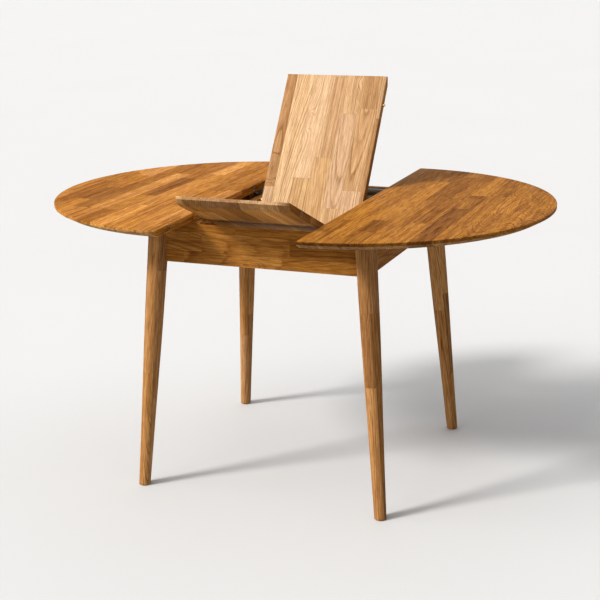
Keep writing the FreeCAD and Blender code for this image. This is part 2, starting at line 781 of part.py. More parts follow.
hinge_middles = (-hinge_offset, hinge_offset)
rear_pins = [(half_leaf, pin_outer_y, 1), (half_leaf, pin_inner_y, 1), (-half_leaf, pin_inner_y, -1)]
rear_sockets = [(-half_leaf, pin_outer_y, -1)]
front_pins = [(-half_leaf, -pin_outer_y, -1)]
front_sockets = [(half_leaf, -pin_outer_y, 1)]


def drilled_leaf(side_y, pins, sockets):
    cutters = [edge_pin_hole(*place) for place in pins]
    cutters += [edge_socket_hole(*place) for place in sockets]
    for middle_x in hinge_middles:
        cutters += hinge_pocket(middle_x, side_y)
    if side_y > 0:
        for side_x in (-1, 1):
            seats = pivot_plate_screw_seats(side_x)
            cutters += [pan_screw_hole(seat, axis) for seat, axis in seats]
    return leaf_panel(side_y).cut(cutters)


# ---------------------------------------------------------------- write the fixed frame
table_corners = [(side_x, side_y) for side_y in (-1, 1) for side_x in (-1, 1)]
side_names = {-1: "left", 1: "right"}
end_names = {-1: "front", 1: "rear"}

for side_x, side_y in table_corners:
    place = end_names[side_y] + "_" + side_names[side_x]
    export("leg_" + place, leg(side_x, side_y))
    export("corner_block_" + place, corner_block(side_x, side_y))

bolt_places = [(side_x, side_y, z) for side_x, side_y in table_corners for z in bolt_heights()]
export_group("leg_bolts", [leg_bolt(*place) for place in bolt_places])
export_group("leg_washers", [leg_washer(*place) for place in bolt_places])
export_group("leg_nuts", [leg_nut(*place) for place in bolt_places])

export("apron_front", long_apron(-1).cut(leaf_notch()))
export("apron_rear", long_apron(1))
for side_x in (-1, 1):
    name = side_names[side_x]
    export("apron_" + name, side_apron(side_x))
    export("bearer_" + name, bearer(side_x))
    export("pivot_bolt_" + name, pivot_bolt(side_x))
for side_y in (-1, 1):
    export("slide_channel_" + end_names[side_y], slide_channel(side_y))
channel_seats = slide_screw_seats(-1) + slide_screw_seats(1)
export_group("slide_screws", [pan_screw(seat, axis) for seat, axis in channel_seats])

# ---------------------------------------------------------------- write the two half tops
for side_x in (-1, 1):
    name = side_names[side_x]
    export("half_top_" + name, half_top(side_x))
    export_group("half_pins_" + name, [edge_pin(*place) for place in half_pins(side_x)])
    export_group("half_sockets_" + name, [edge_socket(*place) for place in half_sockets(side_x)])
    flange_screws = []
    runner_bolts = []
    for side_y in (-1, 1):
        export("runner_" + end_names[side_y] + "_" + name, runner(side_x, side_y))
        export("top_bracket_" + end_names[side_y] + "_" + name, top_bracket(side_x, side_y))
        flange_screws += [pan_screw(seat, axis) for seat, axis in bracket_flange_seats(side_x, side_y)]
        runner_bolts += [bracket_bolt(seat, axis) for seat, axis in runner_screw_seats(side_x, side_y)]
    export_group("bracket_screws_" + name, flange_screws)
    export_group("runner_bolts_" + name, runner_bolts)

# ---------------------------------------------------------------- write the leaf
export("leaf_rear", rear_at_rest(drilled_leaf(1, rear_pins, rear_sockets)))
export_group("leaf_rear_pins", [rear_at_rest(edge_pin(*place)) for place in rear_pins])
export_group("leaf_rear_socket", [rear_at_rest(edge_socket(*place)) for place in rear_sockets])
ear_screws = []
for side_x in (-1, 1):
    export("pivot_ear_" + side_names[side_x], rear_at_rest(pivot_ear(side_x)))
    ear_screws += [rear_at_rest(pan_screw(seat, axis)) for seat, axis in pivot_plate_screw_seats(side_x)]
export_group("pivot_ear_screws", ear_screws)
export_group("hinge_flaps_rear", [rear_at_rest(hinge_half(x, 1)) for x in hinge_middles])
export_group("hinge_pins", [rear_at_rest(hinge_pin(x)) for x in hinge_middles])

export("leaf_front", front_at_rest(drilled_leaf(-1, front_pins, front_sockets)))
export_group("leaf_front_pin", [front_at_rest(edge_pin(*place)) for place in front_pins])
export_group("leaf_front_socket", [front_at_rest(edge_socket(*place)) for place in front_sockets])
export_group("hinge_flaps_front", [front_at_rest(hinge_half(x, -1)) for x in hinge_middles])
rear_hinge_screws = []
front_hinge_screws = []
for middle_x in hinge_middles:
    rear_hinge_screws += [rear_at_rest(flat_screw(seat)) for seat in hinge_screw_seats(middle_x, 1)]
    front_hinge_screws += [front_at_rest(flat_screw(seat)) for seat in hinge_screw_seats(middle_x, -1)]
export_group("hinge_screws_rear", rear_hinge_screws)
export_group("hinge_screws_front", front_hinge_screws)

fold_y, fold_z = turn_point(0.0, hinge_z, pivot_back, pivot_z, rear_tilt)
print("leaf pivot y", pivot_back, "z", pivot_z)
print("fold line y", round(fold_y, 4), "z", round(fold_z, 4))
print("slide travel", slide_travel, "fold ratio", round(-fold_angle / rear_tilt, 6))
print("closed book swing", round(180 * rear_tilt / fold_angle - rear_tilt, 4))
print("notch floor outer", round(lowest_reach(-apron_outer) - notch_clearance, 2),
      "inner", round(lowest_reach(-apron_inner) - notch_clearance, 2),
      "front slide top", round(slide_base(-1) + slide_height, 2))
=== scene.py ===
import json
import math
import random

import bmesh
import bpy
from mathutils import Matrix, Vector

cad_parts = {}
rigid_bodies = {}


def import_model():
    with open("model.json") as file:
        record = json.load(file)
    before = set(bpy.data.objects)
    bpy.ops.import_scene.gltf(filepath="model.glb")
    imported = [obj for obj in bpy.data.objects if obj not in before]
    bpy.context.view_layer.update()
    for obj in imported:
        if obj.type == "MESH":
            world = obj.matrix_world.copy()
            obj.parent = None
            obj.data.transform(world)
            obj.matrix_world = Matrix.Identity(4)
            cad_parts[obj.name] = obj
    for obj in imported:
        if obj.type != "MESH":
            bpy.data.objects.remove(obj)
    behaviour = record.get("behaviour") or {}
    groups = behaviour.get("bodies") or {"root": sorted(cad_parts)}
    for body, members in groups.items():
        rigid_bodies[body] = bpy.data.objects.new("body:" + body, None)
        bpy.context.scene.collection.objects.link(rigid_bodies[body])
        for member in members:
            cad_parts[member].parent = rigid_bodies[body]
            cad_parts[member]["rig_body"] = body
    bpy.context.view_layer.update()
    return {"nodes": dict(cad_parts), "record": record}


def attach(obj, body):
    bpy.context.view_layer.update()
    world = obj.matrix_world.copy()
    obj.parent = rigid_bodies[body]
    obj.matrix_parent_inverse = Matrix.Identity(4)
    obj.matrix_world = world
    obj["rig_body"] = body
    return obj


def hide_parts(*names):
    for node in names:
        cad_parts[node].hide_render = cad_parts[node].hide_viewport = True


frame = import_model()
nodes = frame["nodes"]
slots = {part["node"]: part["material_slot"] for part in frame["record"]["subparts"]}

# Metres. X runs along the extension, -Y is the front, +Z is up. Colours are linear.

# ---------------------------------------------------------------- sizes that the looks need
TOP_Z = 0.750
JOINT_X = 0.186            # straight edge of a half top, from the middle
STAVE = 0.050              # width of the staves that the half tops are glued up from
PIVOT = (0.122, 0.704)     # y and z of the rear leaf's pivot
HINGE_Z = 0.75025          # hinge pins when the leaves lie flat
REAR_TILT = 56.4           # slope of the rear leaf, half raised, in degrees
FOLD = 80.0                # turn between the two leaves, half raised, in degrees
FOOT = 0.3377              # leg axis at the floor, in X and in Y
LEAN = 0.07585             # a leg's lean in X and in Y, per metre of height
BEYOND = 9.0               # further out than anything on the table


# ---------------------------------------------------------------- shader nodes
# sockets of a node that mixes colours
MIX_FIRST = 6
MIX_SECOND = 7
MIX_RESULT = 2


class Tree:
    """Builds the nodes of one node tree."""

    def __init__(self, tree):
        self.nodes = tree.nodes
        self.links = tree.links

    def put(self, socket, value):
        if isinstance(value, bpy.types.NodeSocket):
            self.links.new(value, socket)
        else:
            socket.default_value = value

    def place(self, output):
        return self.nodes.new("ShaderNodeTexCoord").outputs[output]

    def math(self, operation, *values):
        node = self.nodes.new("ShaderNodeMath")
        node.operation = operation
        for socket, value in zip(node.inputs, values):
            self.put(socket, value)
        return node.outputs[0]

    def vector(self, operation, *values):
        node = self.nodes.new("ShaderNodeVectorMath")
        node.operation = operation
        for socket, value in zip(node.inputs, values):
            self.put(socket, value)
        return node.outputs[0]

    def attribute(self, name, output="Vector"):
        node = self.nodes.new("ShaderNodeAttribute")
        node.attribute_name = name
        return node.outputs[output]

    def parts(self, vector):
        node = self.nodes.new("ShaderNodeSeparateXYZ")
        self.put(node.inputs[0], vector)
        return node.outputs

    def noise(self, vector, detail=2.0, roughness=0.5):
        node = self.nodes.new("ShaderNodeTexNoise")
        self.put(node.inputs["Vector"], vector)
        node.inputs["Scale"].default_value = 1.0
        node.inputs["Detail"].default_value = detail
        node.inputs["Roughness"].default_value = roughness
        return node.outputs["Fac"]

    def span(self, value, edges, levels=(0.0, 1.0), smooth=True):
        """Value taken from between edges to between levels, and held there."""
        node = self.nodes.new("ShaderNodeMapRange")
        node.interpolation_type = "SMOOTHSTEP" if smooth else "LINEAR"
        self.put(node.inputs["Value"], value)
        node.inputs["From Min"].default_value = edges[0]
        node.inputs["From Max"].default_value = edges[1]
        node.inputs["To Min"].default_value = levels[0]
        node.inputs["To Max"].default_value = levels[1]
        return node.outputs["Result"]

    def ramp(self, factor, stops):
        node = self.nodes.new("ShaderNodeValToRGB")
        self.put(node.inputs[0], factor)
        elements = node.color_ramp.elements
        while len(elements) < len(stops):
            elements.new(1.0)
        for element, (position, colour) in zip(elements, stops):
            element.position = position
            element.color = colour
        return node.outputs["Color"]

    def mix(self, factor, first, second, blend="MIX"):
        node = self.nodes.new("ShaderNodeMix")
        node.data_type = "RGBA"
        node.blend_type = blend
        self.put(node.inputs["Factor"], factor)
        self.put(node.inputs[MIX_FIRST], first)
        self.put(node.inputs[MIX_SECOND], second)
        return node.outputs[MIX_RESULT]


class Surface(Tree):
    """Builds the nodes of one material."""

    def __init__(self, name):
        self.material = bpy.data.materials.new(name)
        self.material.use_nodes = True
        super().__init__(self.material.node_tree)
        self.inputs = self.nodes["Principled BSDF"].inputs

    def bump(self, height, distance):
        node = self.nodes.new("ShaderNodeBump")
        node.inputs["Strength"].default_value = 1.0
        node.inputs["Distance"].default_value = distance
        self.put(node.inputs["Height"], height)
        self.put(self.inputs["Normal"], node.outputs["Normal"])


def grey(value):
    return (value, value, value, 1.0)


# ---------------------------------------------------------------- oak
GLUE_LINE = 0.00035        # half width of the line where two staves meet
KNOT_HALF_WIDTH = 0.013
KNOT_HALF_LENGTH = 0.034
KNOT_CORE = (0.020, 0.024)  # a knot's dark core comes in between these rises
RING_WANDER = 0.024        # how far growth rings stray from round, in slow sweeps
RING_WAVER = 0.0016        # and in fine ones
RING_DRIFT = 0.007         # how far their spacing strays from even
WOOD_RELIEF = 0.00022      # depth of pores and fibres

# noise in the wood: waves per metre across the fibres and along them, how many finer waves
# are added, and how strong these are
WANDER = (14, 2.6, 1.0, 0.5)
WAVER = (110, 10, 2.0, 0.5)
FADING = (12, 1.2, 1.0, 0.5)       # stretches where ring lines are weaker
SHADING = (30, 2.4, 3.0, 0.5)
STREAKS = (95, 2.2, 2.0, 0.5)
FIBRES = (280, 20, 4.0, 0.70)
PORES = (1300, 60, 1.0, 0.5)
POLISH = (70, 12, 3.0, 0.5)        # patches with more or less sheen
# waves per metre from one ring to the next
YEARLY_STRENGTH = 260.0
YEARLY_SPACING = 80.0

# values of noise where a mark begins and where it is full
FADING_EDGES = (0.3, 0.7)
YEARLY_EDGES = (0.35, 0.65)
STREAK_EDGES = (0.42, 0.72)
FIBRE_EDGES = (0.38, 0.62)
PORE_EDGES = (0.58, 0.68)
CORE_EDGES = (0.90, 0.985)
POLISH_EDGES = (0.25, 0.75)

# strengths, 1 being full
SHADE_DRIFT = 0.56         # how much a stave's shade changes along it
FADED = (0.55, 1.0)        # ring lines in weak and in strong stretches
YEARLY = (0.50, 1.20)      # ring lines of weak and of strong years
PORES_ON_LINES = 0.70      # what ring lines have on top of what all the wood has
PORES_ANYWHERE = 0.20
PORE_COVER = 0.62
KNOT_COVER = 0.85
GLUE_COVER = 0.55
# how far each sinks in, as shares of the relief
FIBRE_SINK = -0.5
PORE_SINK = -1.4
RING_SINK = -0.30
GLUE_SINK = -0.8
# sheen: oiled oak is nearly matt
OIL_SHEEN = 0.010
OAK_ROUGHNESS = (0.46, 0.58)
PORE_ROUGHNESS = 0.25      # added at pores
END_ROUGHNESS = 0.15       # added on sawn ends

# dark, middle and light tones of oak: oiled ones, and CUT and DRY for sawn and hidden faces.
# The leaves' pale tones are the oak's own with a painted sheen of the key light on them.
HONEY = ((0.210, 0.078, 0.011, 1.0), (0.468, 0.211, 0.035, 1.0), (0.785, 0.416, 0.158, 1.0))
PALE_SHEEN = ((0.255, 0.130, 0.062, 1.0), (0.450, 0.285, 0.162, 1.0), (0.640, 0.470, 0.315, 1.0))
TAN = ((0.160, 0.072, 0.024, 1.0), (0.385, 0.202, 0.083, 1.0), (0.585, 0.355, 0.175, 1.0))
BROWN = ((0.150, 0.055, 0.009, 1.0), (0.350, 0.155, 0.034, 1.0), (0.560, 0.300, 0.105, 1.0))
# the aprons' tones below are the oak's brown made darker, a painted shade of the tops over them
UMBER_SHADED = ((0.136, 0.049, 0.007, 1.0), (0.315, 0.138, 0.029, 1.0), (0.518, 0.275, 0.090, 1.0))
CUT = ((0.230, 0.115, 0.040, 1.0), (0.450, 0.255, 0.115, 1.0), (0.640, 0.410, 0.215, 1.0))
DRY = ((0.175, 0.068, 0.015, 1.0), (0.410, 0.190, 0.050, 1.0), (0.640, 0.355, 0.135, 1.0))
TONE_PLACES = (0.0, 0.5, 1.0)

# tints that a tone is multiplied by
WARM = (1.0, 0.90, 0.50, 1.0)
LATE_WOOD = (0.40, 0.26, 0.14, 1.0)
STREAK = (0.45, 0.32, 0.22, 1.0)
FIBRE = (0.40, 0.27, 0.15, 1.0)
# the next tint darkens sawn end grain, and also paints shade on the right half top's rim and
# the leaves' bevels
END_GRAIN_AND_SHADE = (0.12, 0.09, 0.07, 1.0)
# colours that cover it
PORE = (0.10, 0.040, 0.012, 1.0)
KNOT = (0.05, 0.020, 0.008, 1.0)
GLUE = (0.08, 0.035, 0.012, 1.0)

# how dark a growth ring is, from its inner edge outwards
RING_PROFILE = [(0.0, grey(0.75)), (0.07, grey(1.0)), (0.34, grey(0.32)),
                (0.70, grey(0.0)), (0.97, grey(0.15)), (1.0, grey(0.75))]


class Oak(Surface):
    """Oak glued up from staves. Each stave has growth rings of its own, so its faces, edges
    and ends agree.

    tones are the dark, middle and light colours of the oiled faces, on the leaves paled by a
    painted sheen, and cut those of the sawn or hidden ones. depth is how strongly rings,
    streaks and fibres darken the wood.
    """

    def __init__(self, name, tones, cut, depth):
        super().__init__(name)
        self.wood = self.attribute("wood")
        self.seed = self.attribute("seed")
        self.finish_and_sheen = self.attribute("finish_and_sheen", "Fac")
        self.across, self.along, self.out = self.parts(self.wood)
        self.shade, self.ring, self.endness_and_shade = self.parts(self.attribute("look"))
        self.half_width, self.half_length, self.warmth = self.parts(self.attribute("size"))
        self.knot_x, self.knot_y, self.knot_rise = self.parts(self.attribute("knot"))
        self.ring_depth, self.streak_depth, self.fibre_depth = depth
        self.knot_shape = self.knot_oval()
        self.line = self.ring_lines()
        self.fibre = self.span(self.grain(FIBRES), FIBRE_EDGES, smooth=False)
        self.pore = self.pores()
        self.glue = self.glue_lines()
        self.colour(tones, cut)
        self.relief()

    def grain(self, kind):
        """Noise stretched along the fibres."""
        across, along, detail, roughness = kind
        stretched = self.vector("MULTIPLY_ADD", self.wood, (across, along, across), self.seed)
        return self.noise(stretched, detail, roughness)

    def around(self, value, reach):
        """Noise turned into a shift to either side of nothing."""
        return self.math("MULTIPLY", self.math("SUBTRACT", value, 0.5), reach)

    def squares(self, first, second):
        return self.math("ADD", self.math("POWER", first, 2.0), self.math("POWER", second, 2.0))

    def knot_oval(self):
        """One in the middle of the stave's knot, fading to nothing round it."""
        off_x = self.math("DIVIDE", self.math("SUBTRACT", self.across, self.knot_x),
                          KNOT_HALF_WIDTH)
        off_y = self.math("DIVIDE", self.math("SUBTRACT", self.along, self.knot_y),
                          KNOT_HALF_LENGTH)
        return self.math("EXPONENT", self.math("MULTIPLY", self.squares(off_x, off_y), -1.0))

    def ring_radius(self):
        """Distance from a pith that lies outside the stave and leans along it."""
        pith_x, pith_z, lean = self.parts(self.attribute("pith"))
        wander = self.around(self.grain(WANDER), RING_WANDER)
        from_x = self.math("ADD", self.math("SUBTRACT", self.across, pith_x), wander)
        from_z = self.math("MULTIPLY_ADD", self.along, lean,
                           self.math("SUBTRACT", self.out, pith_z))
        waver = self.around(self.grain(WAVER), RING_WAVER)
        radius = self.math("ADD", self.math("SQRT", self.squares(from_x, from_z)), waver)
        # a knot lifts the rings round it into ovals
        return self.math("MULTIPLY_ADD", self.knot_shape, self.knot_rise, radius)

    def yearly(self, radius, waves):
        """Noise that differs from ring to ring, in waves per metre, but not along one."""
        place = self.vector("MULTIPLY_ADD", radius, (waves, 0.0, 0.0), self.seed)
        return self.noise(place, detail=0.0)

    def ring_lines(self):
        """The dark late wood of each ring, stronger in some rings and some stretches."""
        radius = self.ring_radius()
        strength = self.span(self.yearly(radius, YEARLY_STRENGTH), YEARLY_EDGES, YEARLY)
        drift = self.around(self.yearly(radius, YEARLY_SPACING), RING_DRIFT)
        rings = self.math("DIVIDE", self.math("ADD", radius, drift), self.ring)
        phase = self.math("FRACT", rings)
        fading = self.span(self.grain(FADING), FADING_EDGES, FADED)
        line = self.math("MULTIPLY", self.ramp(phase, RING_PROFILE), fading)
        return self.math("MULTIPLY", line, strength)

    def pores(self):
        """Short dark pores, most of them along the ring lines."""
        pore = self.span(self.grain(PORES), PORE_EDGES)
        share = self.math("MULTIPLY_ADD", self.line, PORES_ON_LINES, PORES_ANYWHERE)
        return self.math("MULTIPLY", pore, share)

    def glue_lines(self):
        side_gap = self.math("SUBTRACT", self.half_width, self.math("ABSOLUTE", self.across))
        end_gap = self.math("SUBTRACT", self.half_length, self.math("ABSOLUTE", self.along))
        gap = self.math("MINIMUM", side_gap, end_gap)
        return self.span(gap, (0.0, GLUE_LINE), (1.0, 0.0))

    def darken(self, colour, amount, depth, tint):
        return self.mix(self.math("MULTIPLY", amount, depth), colour, tint, "MULTIPLY")

    def cover(self, colour, amount, depth, paint):
        return self.mix(self.math("MULTIPLY", amount, depth), colour, paint)

    def colour(self, tones, cut):
        """The stave's own shade with its slow drift, and on it everything that darkens it."""
        level = self.math("ADD", self.shade, self.around(self.grain(SHADING), SHADE_DRIFT))
        bare = self.ramp(level, list(zip(TONE_PLACES, cut)))
        oiled_and_sheen = self.ramp(level, list(zip(TONE_PLACES, tones)))
        colour = self.mix(self.finish_and_sheen, bare, oiled_and_sheen)
        colour = self.mix(self.warmth, colour, WARM, "MULTIPLY")
        colour = self.darken(colour, self.line, self.ring_depth, LATE_WOOD)
        streak = self.span(self.grain(STREAKS), STREAK_EDGES)
        colour = self.darken(colour, streak, self.streak_depth, STREAK)
        colour = self.darken(colour, self.fibre, self.fibre_depth, FIBRE)
        colour = self.cover(colour, self.pore, PORE_COVER, PORE)
        core = self.math("MULTIPLY", self.span(self.knot_shape, CORE_EDGES),
                         self.span(self.knot_rise, KNOT_CORE))
        colour = self.cover(colour, core, KNOT_COVER, KNOT)
        colour = self.mix(self.endness_and_shade, colour, END_GRAIN_AND_SHADE, "MULTIPLY")
        colour = self.cover(colour, self.glue, GLUE_COVER, GLUE)
        self.put(self.inputs["Base Color"], colour)

    def relief(self):
        """Rougher at pores and sawn ends, with pores, fibres, rings and glue lines sunk in."""
        rough = self.span(self.grain(POLISH), POLISH_EDGES, OAK_ROUGHNESS, smooth=False)
        rough = self.math("MULTIPLY_ADD", self.pore, PORE_ROUGHNESS, rough)
        rough = self.math("MULTIPLY_ADD", self.endness_and_shade, END_ROUGHNESS, rough)
        self.put(self.inputs["Roughness"], rough)
        self.inputs["Specular IOR Level"].default_value = OIL_SHEEN
        height = self.math("MULTIPLY", self.fibre, FIBRE_SINK)
        height = self.math("MULTIPLY_ADD", self.pore, PORE_SINK, height)
        height = self.math("MULTIPLY_ADD", self.line, RING_SINK, height)
        height = self.math("MULTIPLY_ADD", self.glue, GLUE_SINK, height)
        self.bump(height, WOOD_RELIEF)


OAKS = {
    "oak_top": (HONEY, CUT, (0.86, 0.70, 0.80)),
    # the leaves' upper faces are paler by a painted sheen of the key light
    "oak_leaf": (PALE_SHEEN, DRY, (0.66, 0.36, 0.44)),
    "oak_leg": (TAN, TAN, (0.80, 0.40, 0.58)),
    "oak_apron": (UMBER_SHADED, UMBER_SHADED, (0.70, 0.42, 0.66)),
    "oak_inner": (BROWN, BROWN, (0.62, 0.50, 0.66)),
}


# ---------------------------------------------------------------- metal
# mottling in waves per metre, and how much darker and rougher the dull places are
MOTTLE = (210.0, 210.0, 210.0)
MOTTLE_SHARE = 0.55
MARKS_SHARE = 0.45
DULL = 0.72
DULL_ROUGHNESS = 0.12
DULL_TO_BRIGHT = (0.32, 0.68)
ROUGH_TO_SMOOTH = (0.3, 0.7)
METAL_RELIEF = 0.00008     # depth of drawing marks


def metal(name, colour, roughness, waves):
    """Metal with faint drawing marks, in waves per metre, and a mottled shine."""
    s = Surface(name)
    place = s.place("Object")
    mottle = s.noise(s.vector("MULTIPLY", place, MOTTLE), detail=3.0)
    marks = s.noise(s.vector("MULTIPLY", place, waves), detail=2.0)
    tone = s.math("MULTIPLY_ADD", marks, MARKS_SHARE, s.math("MULTIPLY", mottle, MOTTLE_SHARE))
    dull = tuple(channel * DULL for channel in colour[:3]) + (1.0,)
    s.put(s.inputs["Base Color"], s.ramp(tone, list(zip(DULL_TO_BRIGHT, (dull, colour)))))
    levels = (roughness + DULL_ROUGHNESS, roughness)
    s.put(s.inputs["Roughness"], s.span(tone, ROUGH_TO_SMOOTH, levels, smooth=False))
    s.inputs["Metallic"].default_value = 1.0
    s.bump(marks, METAL_RELIEF)
    return s.material


METALS = {
    "slide_steel": ((0.26, 0.25, 0.20, 1.0), 0.45, (6.0, 900.0, 900.0)),
    "bracket_steel": ((0.46, 0.47, 0.47, 1.0), 0.36, (300.0, 40.0, 300.0)),
    "socket_steel": ((0.60, 0.55, 0.45, 1.0), 0.40, (60.0, 500.0, 500.0)),
    "brass": ((0.78, 0.56, 0.24, 1.0), 0.26, (60.0, 500.0, 500.0)),
    "zinc_fastener": ((0.74, 0.75, 0.76, 1.0), 0.40, (300.0, 300.0, 300.0)),
}
materials = {name: Oak(name, *look).material for name, look in OAKS.items()}
materials.update({name: metal(name, *look) for name, look in METALS.items()})


# ---------------------------------------------------------------- boards glued up from staves
MARGIN = 0.002             # keeps glue lines off a board's own outer edges
WELD = 1e-6                # corners closer than this are one
ON_PLANE = 1e-7            # corners closer than this to a cut lie on it
SMOOTH_ANGLE = math.radians(28)
SEED_REACH = 90            # staves take their noise from places up to this far apart

# where a stave's shade letter lies between the dark and the light tone
SHADES = {"d": 0.24, "b": 0.31, "m": 0.50, "h": 0.64, "l": 0.82}
SHADE_SPREAD = 0.04

# an apron's or bearer's half length, and the lengths and shades of its staves
RAIL_REACH = 0.30
FIRST_STAVE = (0.06, 0.40)
STAVE_LENGTHS = (0.22, 0.46)
SHORTEST_STAVE = 0.05
RAIL_SHADES = "bmmhl"

# staves with plain grain: the pith's distance and its direction, in radians from level, the
# width of the rings and how much they lean along the stave
PLAIN_AWAY = (0.05, 0.13)
PLAIN_TURNS = (0.15, 0.85)
PLAIN_RINGS = (0.0026, 0.0050)
PLAIN_LEANS = (-0.12, 0.12)
# staves with arched grain have the pith nearer and under them; ARCHES are widths and leans
ARCHED_AWAY = (0.026, 0.055)
ARCHED_TURNS = (1.25, 1.85)
ARCHES = ((0.0030, 0.0042), (0.03, 0.06))
FINE_ARCHES = ((0.0020, 0.0030), (0.07, 0.14))

# a normal at least this high points up, sideways, or down at a slope
FACE_UP = 0.3
FACE_SIDEWAYS = -0.3
FACE_SLOPING_DOWN = -0.9


def random_rows(count, rng):
    """End joints and shades of the staves in each row of an apron or bearer."""
    rows = []
    for _ in range(count):
        joints = []
        place = rng.uniform(*FIRST_STAVE) - RAIL_REACH
        while place < RAIL_REACH - SHORTEST_STAVE:
            joints.append(place)
            place += rng.uniform(*STAVE_LENGTHS)
        letters = [rng.choice(RAIL_SHADES) for _ in range(len(joints) + 1)]
        rows.append((joints, "".join(letters)))
    return rows


def split(bm, faces, place, normal):
    """Cuts faces along a plane without opening them."""
    edges = {edge for face in faces for edge in face.edges}
    corners = {vert for face in faces for vert in face.verts}
    geometry = list(faces) + list(edges) + list(corners)
    bmesh.ops.bisect_plane(bm, geom=geometry, dist=ON_PLANE, plane_co=place, plane_no=normal)


def split_staves(bm, edges, rows):
    """Cuts the faces where rows meet, and then each row where its staves meet end to end."""
    for edge in edges:
        split(bm, bm.faces[:], (edge, 0, 0), (1, 0, 0))
    lows = [-BEYOND] + list(edges)
    highs = list(edges) + [BEYOND]
    for (joints, _), low, high in zip(rows, lows, highs):
        for joint in joints:
            faces = [face for face in bm.faces if low < face.calc_center_median().x < high]
            split(bm, faces, (0, joint, 0), (0, 1, 0))


def grow_stave(letter, rng, arches, darker, warmth):
    """The wood of one stave: where its pith lies, its rings, its shade and its own noise."""
    if letter.isupper():
        turn = rng.uniform(*ARCHED_TURNS)
        away = rng.uniform(*ARCHED_AWAY)
        ring = rng.uniform(*arches[0])
        lean = rng.choice((-1, 1)) * rng.uniform(*arches[1])
    else:
        turn = rng.choice((0.0, math.pi)) + rng.uniform(*PLAIN_TURNS)
        away = rng.uniform(*PLAIN_AWAY)
        ring = rng.uniform(*PLAIN_RINGS)
        lean = rng.uniform(*PLAIN_LEANS)
    return {
        "seed": Vector([rng.uniform(0, SEED_REACH) for _ in range(3)]),
        "pith": Vector((away * math.cos(turn), -away * abs(math.sin(turn)), lean)),
        "shade": SHADES[letter.lower()] + rng.uniform(-SHADE_SPREAD, SHADE_SPREAD) - darker,
        "ring": ring,
        "warmth": rng.uniform(*warmth),
        "knot": Vector((0, 0, 0)),
    }


def face_finish_and_sheen(normal, ends, coat):
    """How much oiled colour a face has, and how much its sawn fibres darken it.

    The cases are the board's upper face, its sides and ends, the bevels under its rim and
    its underside. On the leaves the oiled colour is pale with a painted sheen, and the
    darkening of the right half top's rim and of the leaves' bevels is partly painted shade.
    """
    end_on = normal.y ** 2
    if normal.z > FACE_UP:
        return 1.0, ends[0] * end_on
    if normal.z > FACE_SIDEWAYS:
        return coat[0] + (coat[1] - coat[0]) * end_on, ends[0] * end_on
    if normal.z > FACE_SLOPING_DOWN:
        return coat[2], ends[1]
    return 0.0, 0.0


def mark_faces(bm, edges, rows, staves, ends, coat):
    """Gives each face its stave's wood, measured from the middle of that stave."""
    wood = bm.loops.layers.float_vector.new("wood")
    names = ("seed", "pith", "look", "size", "knot")
    marks = {name: bm.faces.layers.float_vector.new(name) for name in names}
    finish_and_sheen = bm.faces.layers.float.new("finish_and_sheen")
    xs = [vert.co.x for vert in bm.verts]
    ys = [vert.co.y for vert in bm.verts]
    sides = [min(xs) - MARGIN] + list(edges) + [max(xs) + MARGIN]
    near = min(ys) - MARGIN
    far = max(ys) + MARGIN
    bm.normal_update()
    for face in bm.faces:
        centre = face.calc_center_median()
        row = sum(centre.x > edge for edge in edges)
        joints = rows[row][0]
        index = sum(centre.y > joint for joint in joints)
        limits = [near] + list(joints) + [far]
        middle_x = (sides[row] + sides[row + 1]) / 2
        middle_y = (limits[index] + limits[index + 1]) / 2
        middle = Vector((middle_x, middle_y, 0))
        half_width = sides[row + 1] - middle.x
        half_length = limits[index + 1] - middle.y
        stave = staves[row, index]
        knot = stave["knot"]
        oiled_and_sheen, darkening = face_finish_and_sheen(face.normal, ends, coat)
        face[finish_and_sheen] = oiled_and_sheen
        face[marks["seed"]] = stave["seed"]
        face[marks["pith"]] = stave["pith"]
        face[marks["look"]] = (stave["shade"], stave["ring"], darkening)
        face[marks["size"]] = (half_width, half_length, stave["warmth"])
        face[marks["knot"]] = knot - middle if knot.z else (BEYOND, BEYOND, 0)
        for loop in face.loops:
            loop[wood] = loop.vert.co - middle


